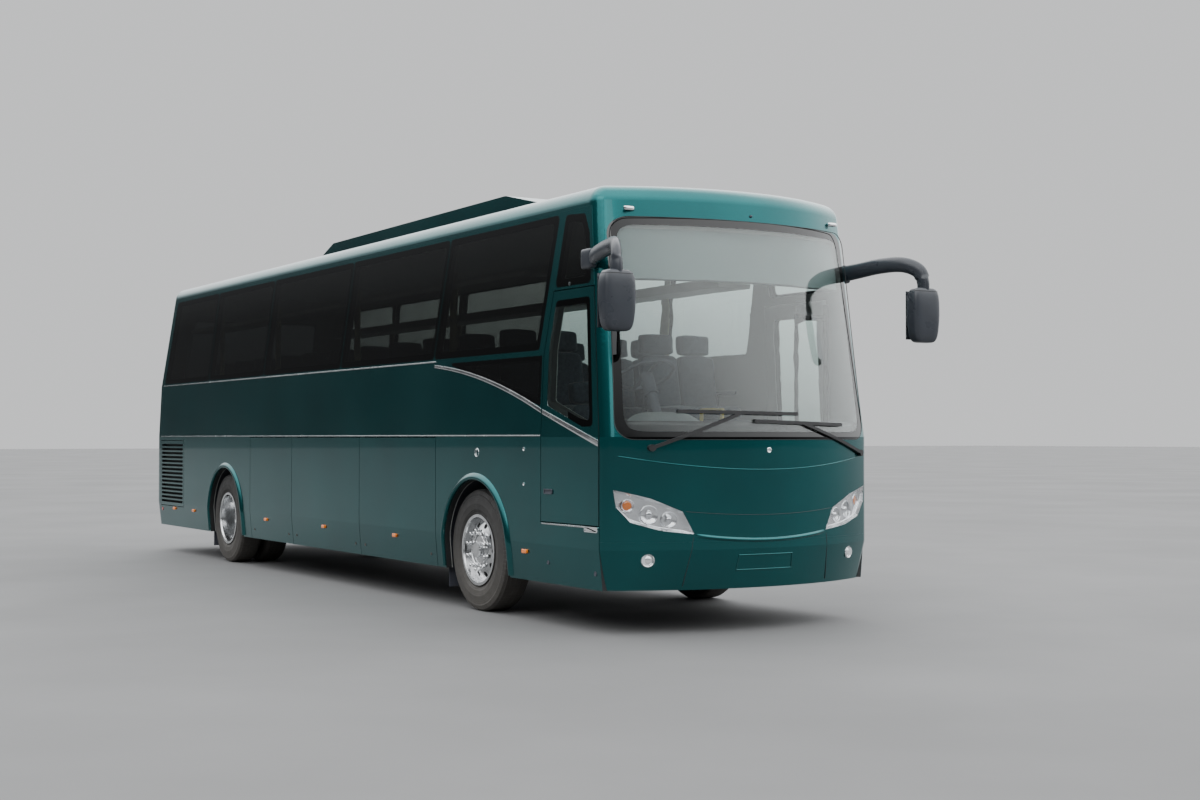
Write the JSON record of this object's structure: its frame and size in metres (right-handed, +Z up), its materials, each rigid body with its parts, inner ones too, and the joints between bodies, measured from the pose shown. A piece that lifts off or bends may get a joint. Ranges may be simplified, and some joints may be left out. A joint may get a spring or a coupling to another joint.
{
  "type": "coach bus",
  "caption": "Two-axle high-floor coach with a bowed nose, bonded side glass, luggage bays, steering front wheels, twin rear wheels and opening doors and flaps.",
  "frame": {"origin": "on the ground under the middle of the whole length, mirrors included", "axes": "+X forwards, +Y to the nearside (left), +Z up"},
  "size_m": [12.22, 3.18, 3.6349],
  "materials": {
    "body_paint": "metallic teal, glossy",
    "glass": "tinted, clear",
    "lamp": "clear lens",
    "tyre": "matt",
    "rim": "polished",
    "cast_iron": "painted",
    "steel": "satin black",
    "deck": "vinyl",
    "black_plastic": "grained",
    "seat_fabric": "woven",
    "mirror_face": "silvered"
  },
  "bodies": {
    "body": {"side_wall_right": "body_paint", "side_glass_right": "glass", "side_wall_left": "body_paint", "side_glass_left": "glass", "front_panel": "body_paint", "front_bumper": "body_paint", "roof": "body_paint", "roof_pod": "body_paint", "rear_panel": "body_paint", "windscreen": "glass", "rear_glass": "glass", "headlights": "lamp", "front_lamps": "lamp", "floor_deck": "deck", "front_floor": "deck", "luggage_racks": "deck", "underframe": "steel", "front_axle": "steel", "rear_axle": "steel", "engine": "steel", "arch_liners": "black_plastic", "mirrors": "black_plastic", "wipers": "black_plastic", "steering_column": "black_plastic", "dashboard": "black_plastic", "passenger_seats": "seat_fabric", "driver_seat": "seat_fabric", "mirror_glass": "mirror_face"},
    "knuckle_right": {"knuckle_right": "cast_iron"},
    "knuckle_left": {"knuckle_left": "cast_iron"},
    "tie_rod": {"tie_rod": "steel"},
    "steering_wheel": {"steering_wheel": "black_plastic"},
    "wheel_front_right": {"tyre_front_right": "tyre", "rim_front_right": "rim"},
    "wheel_front_left": {"tyre_front_left": "tyre", "rim_front_left": "rim"},
    "wheels_rear_right": {"tyres_rear_right": "tyre", "rim_rear_right": "rim"},
    "wheels_rear_left": {"tyres_rear_left": "tyre", "rim_rear_left": "rim"},
    "driver_door": {"driver_door": "body_paint", "driver_door_glass": "glass"},
    "passenger_door": {"passenger_door": "body_paint", "passenger_door_glass": "glass"},
    "door_arm": {"door_arm": "steel"},
    "engine_door": {"engine_door": "body_paint"},
    "flap_locker_right": {"flap_locker_right": "body_paint"},
    "flap_rear_bay_right": {"flap_rear_bay_right": "body_paint"},
    "flap_front_bay_right": {"flap_front_bay_right": "body_paint"},
    "louvre_door_right": {"louvre_door_right": "body_paint"},
    "flap_locker_left": {"flap_locker_left": "body_paint"},
    "flap_rear_bay_left": {"flap_rear_bay_left": "body_paint"},
    "flap_front_bay_left": {"flap_front_bay_left": "body_paint"},
    "louvre_door_left": {"louvre_door_left": "body_paint"}
  },
  "joints": [
    {"name": "steer_right", "type": "hinge", "parent": "body", "child": "knuckle_right", "pos_m": [3.39, -0.885, 0.522], "axis": [0, 0, 1], "range_deg": [-38, 38]},
    {"name": "roll_front_right", "type": "hinge", "parent": "knuckle_right", "child": "wheel_front_right", "pos_m": [3.39, -1.0905, 0.522], "axis": [0, 1, 0], "continuous": true},
    {"name": "roll_rear_right", "type": "hinge", "parent": "body", "child": "wheels_rear_right", "pos_m": [-3.21, -0.9255, 0.522], "axis": [0, 1, 0], "continuous": true},
    {"name": "open_locker_right", "type": "hinge", "parent": "body", "child": "flap_locker_right", "pos_m": [-1.616, -1.277, 1.488], "axis": [-1, 0, 0], "range_deg": [0, 90]},
    {"name": "open_rear_bay_right", "type": "hinge", "parent": "body", "child": "flap_rear_bay_right", "pos_m": [-0.017, -1.277, 1.488], "axis": [-1, 0, 0], "range_deg": [0, 90]},
    {"name": "open_front_bay_right", "type": "hinge", "parent": "body", "child": "flap_front_bay_right", "pos_m": [1.7855, -1.277, 1.488], "axis": [-1, 0, 0], "range_deg": [0, 90]},
    {"name": "open_louvre_right", "type": "hinge", "parent": "body", "child": "louvre_door_right", "pos_m": [-4.806, -1.277, 1.02], "axis": [0, 0, 1], "range_deg": [0, 100]},
    {"name": "steer_left", "type": "hinge", "parent": "body", "child": "knuckle_left", "pos_m": [3.39, 0.885, 0.522], "axis": [0, 0, 1], "range_deg": [-38, 38]},
    {"name": "roll_front_left", "type": "hinge", "parent": "knuckle_left", "child": "wheel_front_left", "pos_m": [3.39, 1.0905, 0.522], "axis": [0, 1, 0], "continuous": true},
    {"name": "roll_rear_left", "type": "hinge", "parent": "body", "child": "wheels_rear_left", "pos_m": [-3.21, 0.9255, 0.522], "axis": [0, 1, 0], "continuous": true},
    {"name": "open_locker_left", "type": "hinge", "parent": "body", "child": "flap_locker_left", "pos_m": [-1.616, 1.277, 1.488], "axis": [1, 0, 0], "range_deg": [0, 90]},
    {"name": "open_rear_bay_left", "type": "hinge", "parent": "body", "child": "flap_rear_bay_left", "pos_m": [-0.017, 1.277, 1.488], "axis": [1, 0, 0], "range_deg": [0, 90]},
    {"name": "open_front_bay_left", "type": "hinge", "parent": "body", "child": "flap_front_bay_left", "pos_m": [1.7855, 1.277, 1.488], "axis": [1, 0, 0], "range_deg": [0, 90]},
    {"name": "open_louvre_left", "type": "hinge", "parent": "body", "child": "louvre_door_left", "pos_m": [-4.806, 1.277, 1.02], "axis": [0, 0, -1], "range_deg": [0, 100]},
    {"name": "track_rod_swing", "type": "hinge", "parent": "knuckle_right", "child": "tie_rod", "pos_m": [3.15, -0.885, 0.4], "axis": [0, 0, 1], "range_deg": [-38, 38]},
    {"name": "turn_steering_wheel", "type": "hinge", "parent": "body", "child": "steering_wheel", "pos_m": [5.125, -0.62, 1.979], "axis": [-0.4695, 0, 0.8829], "range_deg": [-610, 610]},
    {"name": "open_driver_door", "type": "hinge", "parent": "body", "child": "driver_door", "pos_m": [5.494, -1.277, 1.7], "axis": [0, 0, 1], "range_deg": [0, 80]},
    {"name": "swing_door_arm", "type": "hinge", "parent": "body", "child": "door_arm", "pos_m": [5.19, 1.13, 1.7], "axis": [0, 0, -1], "range_deg": [0, 150]},
    {"name": "level_passenger_door", "type": "hinge", "parent": "door_arm", "child": "passenger_door", "pos_m": [4.79, 1.13, 1.7], "axis": [0, 0, -1], "range_deg": [-150, 0]},
    {"name": "open_engine_door", "type": "hinge", "parent": "body", "child": "engine_door", "pos_m": [-6.112, 0, 1.474], "axis": [0, 1, 0], "range_deg": [0, 85]}
  ],
  "couplings": [
    {"joint": "steer_left", "follows": "steer_right", "ratio": 1},
    {"joint": "track_rod_swing", "follows": "steer_right", "ratio": -1},
    {"joint": "turn_steering_wheel", "follows": "steer_right", "ratio": 16},
    {"joint": "level_passenger_door", "follows": "swing_door_arm", "ratio": -1}
  ]
}
